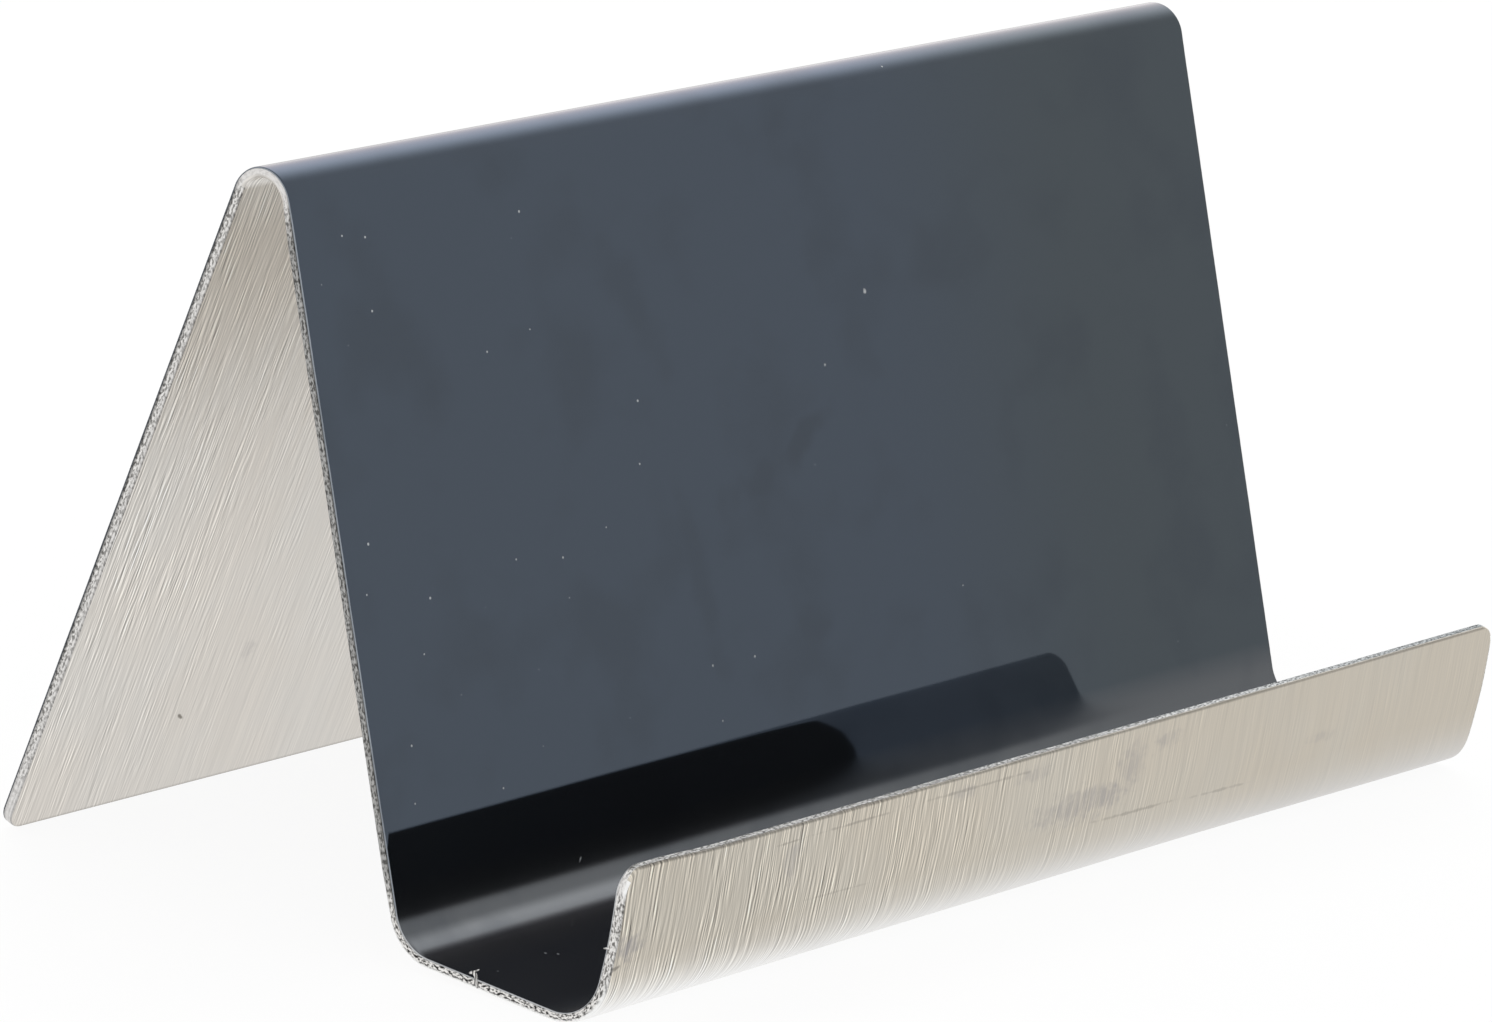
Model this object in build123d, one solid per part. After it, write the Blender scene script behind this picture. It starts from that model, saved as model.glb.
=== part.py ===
from build123d import *
import os
from math import cos, radians, sin, tan

# A card stand folded from one strip of two-layer sheet: brushed stainless steel with a
# thin gloss black facing bonded to one side. Seen from the end, the strip climbs the rear
# leg from its foot, turns over the top, comes down the panel that the cards lean on, runs
# forward as the shelf that they stand on, and turns up into the lip that holds them.
# X runs across the width, -Y to the front and +Z up, with the desk at Z = 0.

# Sheet, in millimetres
sheet_width = 95.0
steel_thickness = 0.6
facing_thickness = 0.1
corner_radius = 1.5

# Folded form, in millimetres: shelf and lip are measured on the facing, from the line
# where the planes of the neighbouring flats meet
stand_height = 48.7
shelf_length = 15.7
lip_length = 10.65

# Bends, in millimetres, on the inside of each turn
top_bend_radius = 1.75
panel_bend_radius = 3.05
lip_bend_radius = 3.45

# Slopes of the flats, in degrees: leg and lip above the desk, panel back from upright,
# shelf down towards the front
leg_slope = 70.5
panel_lean = 17.1
shelf_fall = 2.9
lip_slope = 83.1

# The strip has two corners at the foot and two at the lip
strip_corners = 4
quarter_turn = 90.0

sheet_thickness = steel_thickness + facing_thickness

# The end view has forward as its first direction and up as its second
END_VIEW = Plane(origin=(0, 0, 0), x_dir=(0, -1, 0), z_dir=(-1, 0, 0))


def heading(angle):
    """Unit vector in the end view at an angle above forward, in degrees."""
    return Vector(cos(radians(angle)), sin(radians(angle)))


# Direction of each flat, followed from the foot to the lip, and the normal of its facing
leg_heading = leg_slope
panel_heading = panel_lean - quarter_turn
shelf_heading = -shelf_fall
lip_heading = lip_slope


def facing_normal(flat_heading):
    """Unit vector out of the gloss side of a flat."""
    return heading(flat_heading + quarter_turn)


def setback(radius, first_heading, second_heading):
    """Length of flat between a bend's end and the line where two flats' planes meet."""
    return radius * tan(radians((second_heading - first_heading) / 2))


# Centres of the three bends. The lip's bend stands on the desk with its steel side, the
# shelf runs back from it to the panel's bend, and the panel climbs to the top bend.
top_bend_outside = top_bend_radius + sheet_thickness
lip_bend_outside = lip_bend_radius + sheet_thickness
lip_centre = Vector(0, lip_bend_outside)
shelf_flat = (
    shelf_length
    - setback(lip_bend_radius, shelf_heading, lip_heading)
    - setback(panel_bend_radius, panel_heading, shelf_heading)
)
panel_centre = (
    lip_centre
    + facing_normal(shelf_heading) * (panel_bend_radius - lip_bend_radius)
    - heading(shelf_heading) * shelf_flat
)
panel_to_top = facing_normal(panel_heading) * -(panel_bend_radius + top_bend_outside)
panel_flat = (stand_height - top_bend_outside - (panel_centre + panel_to_top).Y) / cos(
    radians(panel_lean)
)
top_centre = panel_centre + panel_to_top - heading(panel_heading) * panel_flat

# The leg runs down from the top bend until its steel edge meets the desk
leg_start = top_centre + facing_normal(leg_heading) * top_bend_radius
leg_flat = leg_start.Y / sin(radians(leg_slope))
lip_flat = lip_length - setback(lip_bend_radius, shelf_heading, lip_heading)


def fold_line(depth):
    """The strip's line in the end view, at a depth below its gloss side."""
    top = top_bend_outside - depth
    panel = panel_bend_radius + depth
    lip = lip_bend_radius + depth
    over_top = CenterArc(
        top_centre, top, leg_heading + quarter_turn, panel_heading - leg_heading
    )
    into_shelf = CenterArc(
        panel_centre, panel, panel_heading - quarter_turn, shelf_heading - panel_heading
    )
    into_lip = CenterArc(
        lip_centre, lip, shelf_heading - quarter_turn, lip_heading - shelf_heading
    )
    foot = over_top @ 0 - heading(leg_heading) * leg_flat
    tip = into_lip @ 1 + heading(lip_heading) * lip_flat
    return [
        Line(foot, over_top @ 0),
        over_top,
        Line(over_top @ 1, into_shelf @ 0),
        into_shelf,
        Line(into_shelf @ 1, into_lip @ 0),
        into_lip,
        Line(into_lip @ 1, tip),
    ]


def layer(near, far):
    """One layer of the folded strip, between two depths below the gloss side."""
    upper = fold_line(near)
    lower = fold_line(far)
    foot_end = Line(upper[0] @ 0, lower[0] @ 0)
    lip_end = Line(upper[-1] @ 1, lower[-1] @ 1)
    section = make_face(Curve() + upper + lower + [foot_end, lip_end])
    strip = extrude(END_VIEW * section, amount=sheet_width / 2, both=True)
    corners = strip.edges().filter_by(GeomType.LINE).sort_by(SortBy.LENGTH)[:strip_corners]
    return fillet(corners, corner_radius)


pieces = {
    "gloss_black_facing": layer(0, facing_thickness),
    "folded_steel_sheet": layer(facing_thickness, sheet_thickness),
}

# The origin is on the desk under the middle of the stand
box = Compound(list(pieces.values())).bounding_box()
to_middle = Location((0, -(box.min.Y + box.max.Y) / 2, 0))

os.makedirs("parts", exist_ok=True)
for name, piece in pieces.items():
    export_step(to_middle * piece, f"parts/{name}.step")
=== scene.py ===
import logging
import math
from collections.abc import Callable
from dataclasses import dataclass
from enum import Enum, IntEnum
from functools import cached_property, partial
from typing import Any, NamedTuple

import bmesh
import bpy
import numpy as np
from mathutils import Matrix, Vector


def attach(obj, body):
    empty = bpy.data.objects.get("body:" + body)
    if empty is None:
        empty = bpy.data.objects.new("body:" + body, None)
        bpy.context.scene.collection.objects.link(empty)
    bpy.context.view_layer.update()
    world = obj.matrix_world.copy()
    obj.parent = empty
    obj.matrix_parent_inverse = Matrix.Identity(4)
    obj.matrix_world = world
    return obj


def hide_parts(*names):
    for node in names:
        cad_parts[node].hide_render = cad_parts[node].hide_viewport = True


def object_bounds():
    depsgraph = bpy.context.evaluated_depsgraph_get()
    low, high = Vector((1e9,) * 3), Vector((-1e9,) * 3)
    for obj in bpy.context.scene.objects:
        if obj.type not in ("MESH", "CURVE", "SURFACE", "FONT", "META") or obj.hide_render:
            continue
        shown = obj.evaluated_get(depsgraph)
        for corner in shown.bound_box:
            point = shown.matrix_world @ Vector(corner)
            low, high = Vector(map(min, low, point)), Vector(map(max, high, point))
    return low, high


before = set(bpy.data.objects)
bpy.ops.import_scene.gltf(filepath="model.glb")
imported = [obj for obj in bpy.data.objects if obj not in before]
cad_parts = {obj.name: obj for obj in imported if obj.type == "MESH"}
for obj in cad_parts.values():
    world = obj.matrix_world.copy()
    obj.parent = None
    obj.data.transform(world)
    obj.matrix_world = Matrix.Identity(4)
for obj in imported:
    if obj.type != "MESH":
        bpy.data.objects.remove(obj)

log = logging.getLogger("card_stand")

Socket = bpy.types.NodeSocket
Adder = Callable[..., Socket]

CAD_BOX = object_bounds()
MM = 0.001
PER_MM = 1.0 / MM
BODY = "root"
STRIP_MAP = "strip"
WHITE = "#FFFFFF"
PHOTO_WIDTH_PX = 1492
# Settings that many nodes share: two mixed colours, an eased ramp, and noise on the flat strip
COLOURS = {"output": 2, "data_type": "RGBA"}
EASED = {"interpolation_type": "SMOOTHSTEP"}
FLAT = {"noise_dimensions": "2D"}


def linear(hex_colour: str) -> tuple[float, float, float, float]:
    """Turns an sRGB hex colour into linear RGBA.

    Args:
        hex_colour: Colour such as "#C1B9AC".

    Returns:
        Linear red, green and blue, with an alpha of 1.
    """
    channels = []
    for start in (1, 3, 5):
        share = int(hex_colour[start:start + 2], 16) / 255
        channels.append(share / 12.92 if share <= 0.04045 else ((share + 0.055) / 1.055) ** 2.4)
    return (*channels, 1.0)


def smooth(share: np.ndarray) -> np.ndarray:
    """Eases shares in and out, after holding them between 0 and 1."""
    held = np.clip(share, 0.0, 1.0)
    return held * held * (3.0 - 2.0 * held)


def feed(node: bpy.types.Node, feeds: dict[str | int, Any]) -> None:
    """Sets or links the inputs of a node.

    Args:
        node: The node.
        feeds: Input name or number to a plain value, or to the socket to link from.
    """
    for socket, value in feeds.items():
        if isinstance(value, Socket):
            node.id_data.links.new(value, node.inputs[socket])
        else:
            node.inputs[socket].default_value = value


def add(
    tree: bpy.types.NodeTree, kind: str, feeds: dict[str | int, Any] | None = None,
    output: str | int = 0, **settings: Any,
) -> Socket:
    """Adds one node to a tree, with its settings and what feeds its inputs.

    Args:
        tree: Node tree that gets the node.
        kind: Blender's type name of the node, without its ShaderNode prefix.
        feeds: Input name or number to a plain value, or to the socket to link from.
        output: Name or number of the output that is wanted.
        settings: Properties of the node, such as operation.

    Returns:
        The wanted output of the new node.
    """
    node = tree.nodes.new("ShaderNode" + kind)
    for name, value in settings.items():
        setattr(node, name, value)
    feed(node, feeds or {})
    return node.outputs[output]


@dataclass(frozen=True)
class Ramp:
    """A value that changes evenly between two places and holds beyond them.

    Attributes:
        first: Place where it starts to change.
        last: Place where it has changed.
        low: Value at the first place.
        high: Value at the last place.
    """

    first: float
    last: float
    low: float = 0.0
    high: float = 1.0

    def feeds(self, place: Socket, unit: float = 1.0) -> dict[str, Any]:
        """What a node that maps ranges is fed with.

        Args:
            place: Socket with the place.
            unit: Size of the unit that the two places are given in.

        Returns:
            Values and sockets by the names of the node's inputs.
        """
        return {
            "Value": place, "From Min": self.first * unit, "From Max": self.last * unit,
            "To Min": self.low, "To Max": self.high,
        }


class Side(Enum):
    """The two kinds of surface on a layer of the sheet, as material slots."""

    FACE = 0
    EDGE = 1


class Trait(Enum):
    """What each point of a layer says about its place, for the finishes."""

    # Painted highlight on the steel side of the bends
    PAINTED_BEND_LIGHT = "painted_bend_light"
    MATT = "matt"
    DULL = "dull"
    LIT = "lit"
    CALM = "calm"
    CUT = "cut"


class Fold(IntEnum):
    """The stretches of the strip, numbered from the foot."""

    LEG = 0
    TOP = 1
    PANEL = 2
    TROUGH = 3
    SHELF = 4
    LIP_BEND = 5
    LIP = 6


@dataclass(frozen=True)
class Stretch:
    """One straight or bent stretch of the strip, measured on its gloss side.

    Attributes:
        length: Length in millimetres.
        turn: Change of heading along it in degrees, positive towards the gloss side.
    """

    length: float
    turn: float = 0.0


@dataclass(frozen=True)
class FoldedStrip:
    """The fold that both layers of the sheet share, in millimetres and degrees.

    Seen from the end, it climbs the leg, turns over the top, comes down the panel, runs
    forward as the shelf and turns up into the lip. Depth is measured from the gloss side.
    The lip isn't quite flat: its bend fades out slowly, which bows it outwards a little, and
    the bend is squarer towards the right. Its left corner stands a little proud.
    """

    width: float = 95.0
    steel_thickness: float = 0.6
    facing_thickness: float = 0.1
    corner_radius: float = 1.5
    leg_flat: float = 49.684
    panel_flat: float = 45.609
    shelf_flat: float = 10.347
    lip_flat: float = 7.433
    top_bend_outside: float = 2.45
    panel_bend_inside: float = 3.05
    lip_bend_inside: float = 3.45
    leg_heading: float = 70.5
    panel_heading: float = -72.9
    shelf_heading: float = -2.9
    lip_heading: float = 83.1
    lip_bow: float = 0.13
    lip_bow_lead: float = 1.3
    lip_bow_length: float = 8.6
    square: float = 0.3
    square_from: float = 10.0
    square_lead: float = 0.7
    square_length: float = 4.4
    proud: float = 0.17
    proud_from: float = -38.5
    proud_to: float = -44.0
    proud_lead: float = 0.7
    proud_fade: float = 0.6
    # How far before and past the top bend its finish reaches, and over what lengths it fades
    over_lead: float = 0.7
    over_rise: float = 1.8
    over_tail: float = 1.7
    over_fall: float = 3.0
    steps_per_mm: int = 100

    @property
    def thickness(self) -> float:
        """Thickness of the whole sheet."""
        return self.steel_thickness + self.facing_thickness

    @cached_property
    def stretches(self) -> tuple[Stretch, ...]:
        """Works out the flats and bends.

        Returns:
            The stretches in order, from the foot to the lip.
        """
        headings = (self.leg_heading, self.panel_heading, self.shelf_heading, self.lip_heading)
        flats = (self.leg_flat, self.panel_flat, self.shelf_flat, self.lip_flat)
        radii = (self.top_bend_outside, self.panel_bend_inside, self.lip_bend_inside)
        made = [Stretch(flats[0])]
        for number, radius in enumerate(radii):
            turn = headings[number + 1] - headings[number]
            made.append(Stretch(radius * math.radians(abs(turn)), turn))
            made.append(Stretch(flats[number + 1]))
        return tuple(made)

    @cached_property
    def starts(self) -> np.ndarray:
        """Distance from the foot to the start of each stretch, and to the lip's end."""
        return np.concatenate([[0.0], np.cumsum([stretch.length for stretch in self.stretches])])

    @property
    def length(self) -> float:
        """Length of the strip on its gloss side."""
        return float(self.starts[-1])

    def line(self, along: np.ndarray) -> tuple[np.ndarray, np.ndarray]:
        """Follows the gloss side in the end view, from a foot at the origin.

        Args:
            along: Distances from the foot.

        Returns:
            Points as forward and up, and the heading at each in radians.
        """
        points = np.zeros((len(along), 2))
        headings = np.zeros(len(along))
        last = len(self.stretches) - 1
        index = np.clip(np.searchsorted(self.starts, along, side="right") - 1, 0, last)
        corner = np.zeros(2)
        heading = math.radians(self.leg_heading)
        for number, stretch in enumerate(self.stretches):
            ahead = np.append(along[index == number] - self.starts[number], stretch.length)
            curve = math.radians(stretch.turn) / stretch.length
            turned = heading + curve * ahead
            if stretch.turn:
                forward = (np.sin(turned) - math.sin(heading)) / curve
                up = (math.cos(heading) - np.cos(turned)) / curve
            else:
                forward = ahead * math.cos(heading)
                up = ahead * math.sin(heading)
            steps = np.stack([forward, up], 1)
            points[index == number] = corner + steps[:-1]
            headings[index == number] = turned[:-1]
            corner = corner + steps[-1]
            heading = float(turned[-1])
        return points, headings

    def bow(self, along: np.ndarray) -> np.ndarray:
        """How far the lip is bowed towards its steel side at distances from the foot."""
        share = (along - self.starts[Fold.LIP] + self.lip_bow_lead) / self.lip_bow_length
        return self.lip_bow * np.sin(np.pi * np.clip(share, 0.0, 1.0)) ** 2

    def squared(self, across: np.ndarray, along: np.ndarray) -> np.ndarray:
        """How far the lip's bend is pushed towards its steel side.

        Args:
            across: Places across the width, from its middle.
            along: Distances from the foot.

        Returns:
            Distances for those places.
        """
        share = (along - self.starts[Fold.LIP_BEND] - self.square_lead) / self.square_length
        bump = np.sin(np.pi * np.clip(share, 0.0, 1.0)) ** 2
        rightward = smooth((across - self.square_from) / (self.width / 2 - self.square_from))
        return self.square * bump * rightward

    def raised(self, across: np.ndarray, along: np.ndarray) -> np.ndarray:
        """How far the lip's edge rises past its end at places on the strip."""
        leftward = smooth((across - self.proud_from) / (self.proud_to - self.proud_from))
        return self.proud * leftward * smooth((along - self.length + self.proud_lead) / self.proud_fade)

    def over(self, along: np.ndarray) -> np.ndarray:
        """How far into the top bend distances from the foot are, from 0 to 1."""
        rise = smooth((along - self.starts[Fold.TOP] + self.over_lead) / self.over_rise)
        return rise * smooth((self.starts[Fold.PANEL] - along + self.over_tail) / self.over_fall)

    def section(self, along: np.ndarray, depth: np.ndarray) -> np.ndarray:
        """Points of the sheet in the end view, from a foot at the origin.

        Args:
            along: Distances from the foot.
            depth: Depths below the gloss side.

        Returns:
            Points as forward and up.
        """
        points, headings = self.line(along)
        normals = np.stack([-np.sin(headings), np.cos(headings)], 1)
        return points - (depth + self.bow(along))[:, None] * normals

    @cached_property
    def seat(self) -> np.ndarray:
        """Finds where the sheet stands in the CAD box, on its floor.

        Returns:
            Shift in the end view, as forward and up.
        """
        along = np.linspace(0.0, self.length, round(self.length * self.steps_per_mm))
        outside = self.section(along, np.zeros(len(along)))
        inside = self.section(along, np.full(len(along), self.thickness))
        both = np.vstack([outside, inside])
        low, high = CAD_BOX
        back = -high.y * PER_MM - both[:, 0].min()
        return np.array([back, low.z * PER_MM - both[:, 1].min()])

    def lay(self, across: np.ndarray, along: np.ndarray, depth: np.ndarray) -> np.ndarray:
        """Points of the folded sheet in the frame of the part.

        Args:
            across: Places across the width, from its middle.
            along: Distances from the foot.
            depth: Depths below the gloss side.

        Returns:
            Points in metres.
        """
        reach = along + self.raised(across, along)
        end = self.section(reach, depth + self.squared(across, along)) + self.seat
        return np.stack([across, -end[:, 0], end[:, 1]], 1) * MM


@dataclass(frozen=True)
class Zone:
    """Lengths of the strip that a trait belongs to.

    Attributes:
        spans: First and last stretch of each length.
        beyond: How far past a length's ends the trait reaches, in millimetres.
        fade: Length over which it comes on from there.
    """

    spans: tuple[tuple[Fold, Fold], ...]
    beyond: float
    fade: float

    def share(self, strip: FoldedStrip, along: np.ndarray) -> np.ndarray:
        """How strong the trait is.

        Args:
            strip: The fold.
            along: Distances from the foot.

        Returns:
            Its strength at each of them, from 0 to 1.
        """
        share = np.zeros(len(along))
        for first, last in self.spans:
            outside = np.maximum(strip.starts[first] - along, along - strip.starts[last + 1])
            share = np.maximum(share, smooth((self.beyond - outside) / self.fade))
        return share


LOWER_BENDS = ((Fold.TROUGH, Fold.TROUGH), (Fold.LIP_BEND, Fold.LIP_BEND))
ZONES = {
    # Painted highlight: the steel side of the trough and lip bends is paler where the press bent them
    Trait.PAINTED_BEND_LIGHT: Zone(LOWER_BENDS, 0.9, 3.8),
    # It has also taken the gloss off the black side there, which also gets a painted lighter reflection
    Trait.MATT: Zone(LOWER_BENDS, 1.9, 2.6),
    # The panel's cut edge is dull, and the shelf's has a painted highlight towards the bench
    Trait.DULL: Zone(((Fold.PANEL, Fold.PANEL),), 0.0, 3.0),
    Trait.LIT: Zone(((Fold.TROUGH, Fold.LIP_BEND),), 0.6, 2.4),
}
# The facing is hardly rounded along the sides of the leg and the lip
SHARP_SIDES = Zone(((Fold.LEG, Fold.LEG), (Fold.LIP, Fold.LIP)), 3.0, 3.0)


class Shell:
    """Gathers the points and faces of one piece, in the strip's own coordinates."""

    def __init__(self) -> None:
        """Starts with nothing in it."""
        self.points = np.zeros((0, 4))
        self.faces: list[list[int]] = []
        self.sides: list[Side] = []

    def place(self, across: Any, along: Any, depth: Any, cut: Any) -> int:
        """Adds points.

        Args:
            across: Places across the strip in millimetres.
            along: Distances from the foot in millimetres.
            depth: Depths below the gloss side in millimetres.
            cut: Shares of the way through the cut edge, from the gloss side.

        Returns:
            Number of the first new point.
        """
        first = len(self.points)
        rows = np.stack(np.broadcast_arrays(across, along, depth, cut), 1)
        self.points = np.vstack([self.points, rows])
        return first

    def skin(self, faces: list[list[int]], side: Side) -> None:
        """Adds faces of one kind, each a list of point numbers."""
        self.faces += faces
        self.sides += [side] * len(faces)


@dataclass(frozen=True)
class CutEdge:
    """Section of a cut edge, from a layer's gloss side to its steel side, in millimetres.

    Attributes:
        near_width: Width of the rounding towards the gloss side.
        near_depth: Depth of that rounding.
        far_width: Width of the rounding towards the steel side.
        far_depth: Depth of that rounding.
        tear: How far the grain of the cut is torn into the wall.
        waver: How far the whole edge wanders.
        wall_steps: Number of rows of faces on the wall.
        round_steps: Number of rows of faces on each rounding.
        margin: Width of the flat rim that keeps the faces flat beside the cut.
        rolled: Number of rows from the gloss side that keep the finish of the face.
        tear_rates: How fast the tear comes on from the gloss side and from the steel side.
    """

    near_width: float
    near_depth: float
    far_width: float
    far_depth: float
    tear: float
    waver: float
    wall_steps: int
    round_steps: int = 5
    margin: float = 0.06
    rolled: int = 1
    tear_rates: tuple[float, float] = (4.0, 5.0)

    def rows(self, near: float, far: float) -> tuple[np.ndarray, np.ndarray, np.ndarray]:
        """Rows of points round the edge.

        Args:
            near: Depth of the layer's gloss side.
            far: Depth of the layer's steel side.

        Returns:
            Inset from the outline, depth, and share of the tear for each row.
        """
        turn = np.linspace(0.0, math.pi / 2, self.round_steps + 1)
        near_inset = self.near_width * (1 - np.sin(turn))
        near_depth = near + self.near_depth * (1 - np.cos(turn))
        far_inset = self.far_width * (1 - np.cos(turn))
        far_depth = far - self.far_depth * (1 - np.sin(turn))
        wall = np.linspace(near_depth[-1], far_depth[0], self.wall_steps + 1)[1:-1]
        inset = np.concatenate([
            [self.near_width + self.margin], near_inset, np.zeros(len(wall)),
            far_inset, [self.far_width + self.margin],
        ])
        depth = np.concatenate([[near], near_depth, wall, far_depth, [far]])
        rise, fall = self.tear_rates
        torn = smooth((depth - near) / (far - near) * rise) * smooth((far - depth) / (far - near) * fall)
        return inset, depth, torn


@dataclass(frozen=True)
class Sliver:
    """A burr that the shear left: a tapered curl of metal on the left cut edge.

    Attributes:
        knots: Distance from the foot, depth and radius along its route, in millimetres.
        inset: How far its middle lies in from the left edge.
        sides: Number of faces round it.
        cut: How far through the cut its finish is taken from, from 0 to 1.
    """

    knots: tuple[tuple[float, float, float], ...]
    inset: float = 0.08
    sides: int = 8
    cut: float = 0.5

    def grow(self, shell: Shell, strip: FoldedStrip) -> None:
        """Adds the burr to a layer's shell.

        Args:
            shell: Points and faces of the layer.
            strip: The fold.
        """
        knots = np.array(self.knots)
        way = np.gradient(knots[:, :2], axis=0)
        way /= np.linalg.norm(way, axis=1)[:, None]
        turn = np.arange(self.sides) * 2 * math.pi / self.sides
        left = self.inset - strip.width / 2
        first = len(shell.points)
        for (along, depth, radius), (ahead, down) in zip(knots, way):
            aside = radius * np.sin(turn)
            sideways = left + radius * np.cos(turn)
            shell.place(sideways, along - aside * down, depth + aside * ahead, self.cut)
        rings = [
            [first + ring * self.sides + side for side in range(self.sides)] for ring in range(len(knots))
        ]
        for low, high in zip(rings[:-1], rings[1:]):
            shell.skin([
                [low[side - 1], low[side], high[side], high[side - 1]] for side in range(self.sides)
            ], Side.EDGE)
        shell.skin([rings[0][::-1], rings[-1]], Side.EDGE)


class Outline(NamedTuple):
    """The rows of a layer's outline.

    Attributes:
        centre: Distance from the foot to the centre of the row's corner.
        sine: Sine of the corner's turn there, below 0 at the foot.
        cosine: Cosine of that turn.
        kept: Whether a row of faces across the strip starts there.
    """

    centre: np.ndarray
    sine: np.ndarray
    cosine: np.ndarray
    kept: np.ndarray


@dataclass
class SheetLayer:
    """One layer of the folded sheet as a closed mesh: two faces and a cut edge all round.

    Attributes:
        name: Name of the piece.
        node: CAD node that it stands for.
        slot: Material slot of the record; not used.
        strip: The fold.
        near: Depth of its gloss side in millimetres.
        far: Depth of its steel side in millimetres.
        edge: Section of its cut edge.
        seed: Seed of the torn grain.
        slivers: Burrs on its left edge.
        columns: Number of faces across the width.
        flat_step: Distance between points along a cut edge on the flats.
        bend_step: Distance between points along a cut edge in the bends.
        corner_steps: Number of points round each corner.
        skip: Number of points along a flat's edge for each row across its face.
        grain_range: Part of the drawn grain that is kept, as its floor and its gain.
        drift_range: The same for the wandering of the edge.
        drift_reaches: Numbers of points over which the wandering is evened out.
        corner_lead: How far before the lip's end its corners start, and over what length.
        corner_tail: How far before the lip's end they stop, and over what length.
        tip_from: Sine of the turn of a corner from which the lip's own edge is rolled over.
        tip_lead: How far before the lip's end its own edge starts, and over what length.
        tip_shift: How far to the left of the middle that edge starts to change, as a share.
        tip_dull: How much duller the lip's own edge is at its right end.
        tip_still: How smooth the lip's own edge is at its right end, from 0 to 1.
        foot_calm: Length at the foot where the cut is smooth, in millimetres.
        top_calm: How smooth the cut is at the top bend, from 0 to 1.
        tip_calm: How smooth it is round the lip's corners, from 0 to 1.
        top_sharp: How much narrower the rounding towards the gloss side is at the top bend.
        end_sharp: How much narrower it is along the sides of the leg and the lip.
        far_sharp: How much narrower the rounding to the steel side is at the foot and panel.
        top_pale: How strongly the top bend's inside gets the painted highlight, from 0 to 1.
        top_pale_beyond: How far past the bend that reaches, in millimetres.
    """

    name: str
    node: str
    slot: str
    strip: FoldedStrip
    near: float
    far: float
    edge: CutEdge
    seed: int
    slivers: tuple[Sliver, ...] = ()
    columns: int = 48
    flat_step: float = 0.14
    bend_step: float = 0.1
    corner_steps: int = 12
    skip: int = 8
    grain_range: tuple[float, float] = (0.25, 2.0)
    drift_range: tuple[float, float] = (0.3, 2.5)
    drift_reaches: tuple[int, ...] = (1, 2, 4, 8)
    corner_lead: tuple[float, float] = (1.9, 0.6)
    corner_tail: tuple[float, float] = (0.15, 0.4)
    tip_from: float = 0.5
    tip_lead: tuple[float, float] = (0.35, 0.3)
    tip_shift: float = 0.4
    tip_dull: float = 0.95
    tip_still: float = 0.7
    foot_calm: float = 9.0
    top_calm: float = 0.9
    tip_calm: float = 0.8
    top_sharp: float = 0.5
    end_sharp: float = 0.95
    far_sharp: float = 0.8
    top_pale: float = 0.2
    top_pale_beyond: float = 4.0

    @cached_property
    def side_rows(self) -> tuple[np.ndarray, np.ndarray]:
        """Divides a straight side into points.

        Returns:
            Their distances from the foot, and which of them get a row across.
        """
        low = self.strip.corner_radius
        high = self.strip.length - self.strip.corner_radius
        along: list[float] = []
        kept: list[bool] = []
        for start, stretch in zip(self.strip.starts, self.strip.stretches):
            first, last = max(low, start), min(high, start + stretch.length)
            step = self.bend_step if stretch.turn else self.flat_step
            count = math.ceil((last - first) / step)
            for number in range(count):
                along.append(first + (last - first) * number / count)
                kept.append(bool(stretch.turn) or number % self.skip == 0)
        return np.array(along + [high]), np.array(kept + [True])

    @cached_property
    def outline(self) -> Outline:
        """Puts the rounded corners at the two ends of a straight side.

        Returns:
            Rows of the outline, from the foot to the lip.
        """
        along, kept = self.side_rows
        radius = self.strip.corner_radius
        turn = np.linspace(0.0, math.pi / 2, self.corner_steps + 1)[1:]
        foot, tip = np.full(len(turn), radius), np.full(len(turn), self.strip.length - radius)
        whole = np.ones(len(turn), bool)
        return Outline(
            np.concatenate([foot, along, tip]),
            np.concatenate([-np.sin(turn[::-1]), np.zeros(len(along)), np.sin(turn)]),
            np.concatenate([np.cos(turn[::-1]), np.ones(len(along)), np.cos(turn)]),
            np.concatenate([whole, kept, whole]),
        )

    @cached_property
    def shares(self) -> np.ndarray:
        """Places of the columns, from -1 at the left to 1 at the right."""
        return np.linspace(-1.0, 1.0, self.columns + 1)

    def corner(self, along: np.ndarray) -> np.ndarray:
        """How near to the lip's corners a place is.

        Args:
            along: Distances from the foot.

        Returns:
            Shares from 0 to 1.
        """
        left = self.strip.length - along
        lead, rise = self.corner_lead
        tail, fall = self.corner_tail
        return smooth((lead - left) / rise) * smooth((left - tail) / fall)

    def calm(self, along: np.ndarray) -> np.ndarray:
        """How smooth the cut is.

        Args:
            along: Distances from the foot.

        Returns:
            Shares from 0 to 1.
        """
        foot = smooth(1.0 - along / self.foot_calm)
        top = self.top_calm * self.strip.over(along)
        return np.maximum.reduce([foot, top, self.tip_calm * self.corner(along)])

    @cached_property
    def loop(self) -> list[tuple[int, int]]:
        """Walks once round the outline.

        Returns:
            Row and column of each point.
        """
        last = len(self.outline.centre) - 1
        inner = range(1, self.columns)
        return (
            [(row, 0) for row in range(last + 1)]
            + [(last, column) for column in inner]
            + [(row, self.columns) for row in range(last, -1, -1)]
            + [(0, column) for column in reversed(inner)]
        )

    def spot(self, row: np.ndarray, share: np.ndarray, inset: np.ndarray) -> tuple[np.ndarray, np.ndarray]:
        """Places on the flat strip.

        Args:
            row: Row numbers of the outline.
            share: Place across the row, from -1 at the left to 1 at the right.
            inset: Distance in from the outline.

        Returns:
            Places across and along the strip.
        """
        radius = self.strip.corner_radius
        half = self.strip.width / 2 - radius + (radius - inset) * self.outline.cosine[row]
        return share * half, self.outline.centre[row] + (radius - inset) * self.outline.sine[row]

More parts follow.
